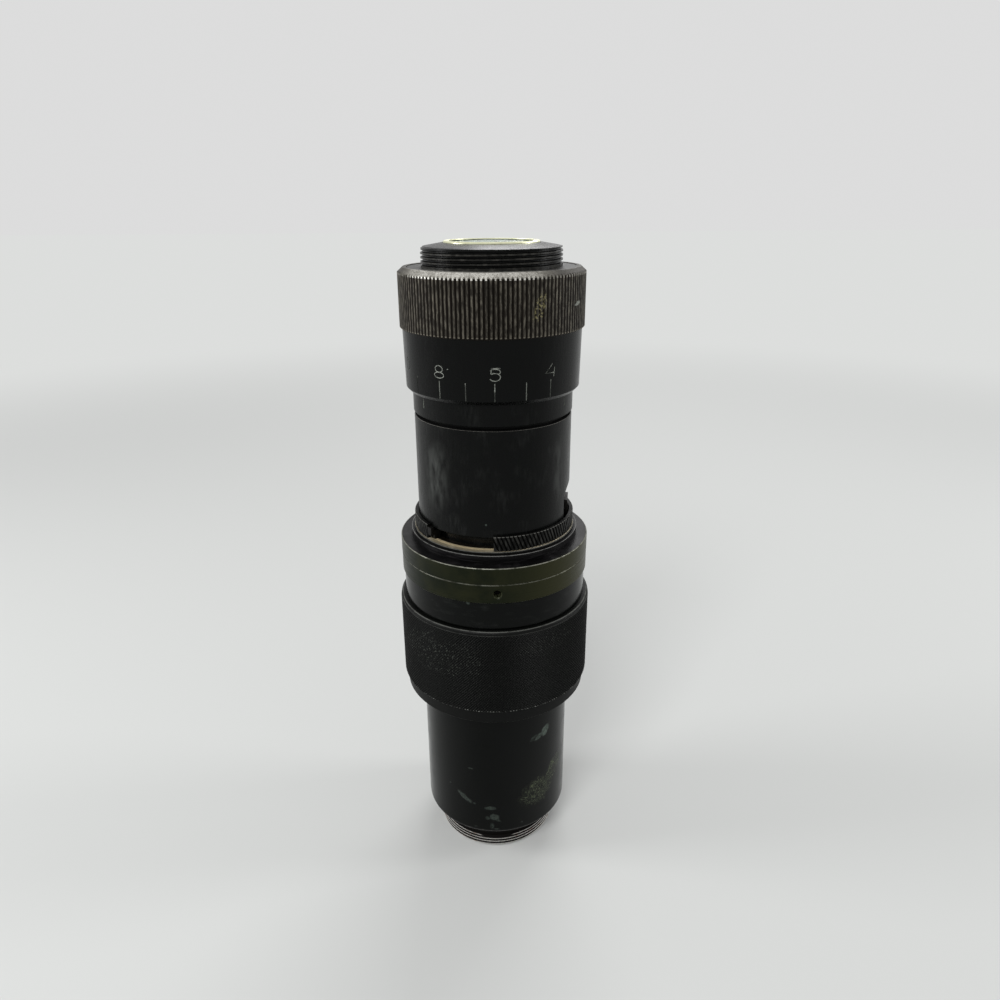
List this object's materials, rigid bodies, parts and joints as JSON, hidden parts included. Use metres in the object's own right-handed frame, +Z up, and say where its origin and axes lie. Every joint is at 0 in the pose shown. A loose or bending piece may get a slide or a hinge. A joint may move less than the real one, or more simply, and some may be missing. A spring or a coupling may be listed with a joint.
{
  "type": "microscope objective",
  "caption": "Long variable-power microscope objective with a diamond-knurled focusing grip, a windowed lock ring, a numbered knurled power ring and a fine thread at each end.",
  "frame": {"origin": "centre of the lower end face, on the optical axis", "axes": "+Z up the optical axis towards the front lens, -Y towards the front with the set screw, +X to the right of it"},
  "size_m": [0.04, 0.04, 0.1304],
  "materials": {
    "black_enamel": "gloss",
    "black_satin": "satin",
    "black_knurl": "matte",
    "worn_knurl": "satin",
    "olive_bronze": "satin",
    "bare_brass": "satin",
    "pale_brass": "satin",
    "steel": "satin",
    "black_steel": "satin",
    "stop_black": "matte",
    "lens_glass": "polished"
  },
  "bodies": {
    "barrel": {"lower_barrel": "black_enamel", "rear_lens_crown": "lens_glass", "rear_lens_flint": "lens_glass", "rear_lens_ring": "stop_black", "grip_retainer": "bare_brass", "black_band": "black_enamel", "clamp_ring": "olive_bronze", "set_screw": "black_steel", "top_flange": "olive_bronze", "guide_bush": "bare_brass", "guide_key": "black_steel", "stop_lug": "black_steel"},
    "focus_grip": {"focus_grip": "black_knurl"},
    "lock_ring": {"lock_ring": "black_knurl"},
    "upper_tube": {"focus_carriage": "bare_brass", "drive_pins": "steel", "main_tube": "black_satin", "relay_lens": "lens_glass", "relay_lens_ring": "stop_black", "aperture_stop": "stop_black", "head_sleeve": "worn_knurl", "index_ring": "black_satin", "front_collar": "black_satin", "front_lens_cell": "pale_brass", "front_lens_crown": "lens_glass", "front_lens_flint": "lens_glass", "front_lens_ring": "pale_brass"},
    "scale_ring": {"scale_ring": "worn_knurl"},
    "lens_carrier": {"lens_carrier": "stop_black", "carrier_pin": "steel", "carrier_lens": "lens_glass", "carrier_lens_ring": "stop_black"}
  },
  "joints": [
    {"name": "focus_turn", "type": "hinge", "parent": "barrel", "child": "focus_grip", "pos_m": [0, 0, 0.049], "axis": [0, 0, 1], "range_deg": [0, 120]},
    {"name": "focus_slide", "type": "slide", "parent": "barrel", "child": "upper_tube", "axis": [0, 0, 1], "range_m": [0, 0.003]},
    {"name": "lock_turn", "type": "hinge", "parent": "barrel", "child": "lock_ring", "pos_m": [0, 0, 0.076], "axis": [0, 0, 1], "range_deg": [-48, 0]},
    {"name": "power_turn", "type": "hinge", "parent": "upper_tube", "child": "scale_ring", "pos_m": [0, 0, 0.114], "axis": [0, 0, 1], "range_deg": [0, 165]},
    {"name": "power_slide", "type": "slide", "parent": "upper_tube", "child": "lens_carrier", "axis": [0, 0, 1], "range_m": [0, 0.008]}
  ],
  "couplings": [
    {"joint": "focus_slide", "follows": "focus_turn", "m_per_rad": 0.0014324},
    {"joint": "power_slide", "follows": "power_turn", "m_per_rad": 0.002778}
  ]
}
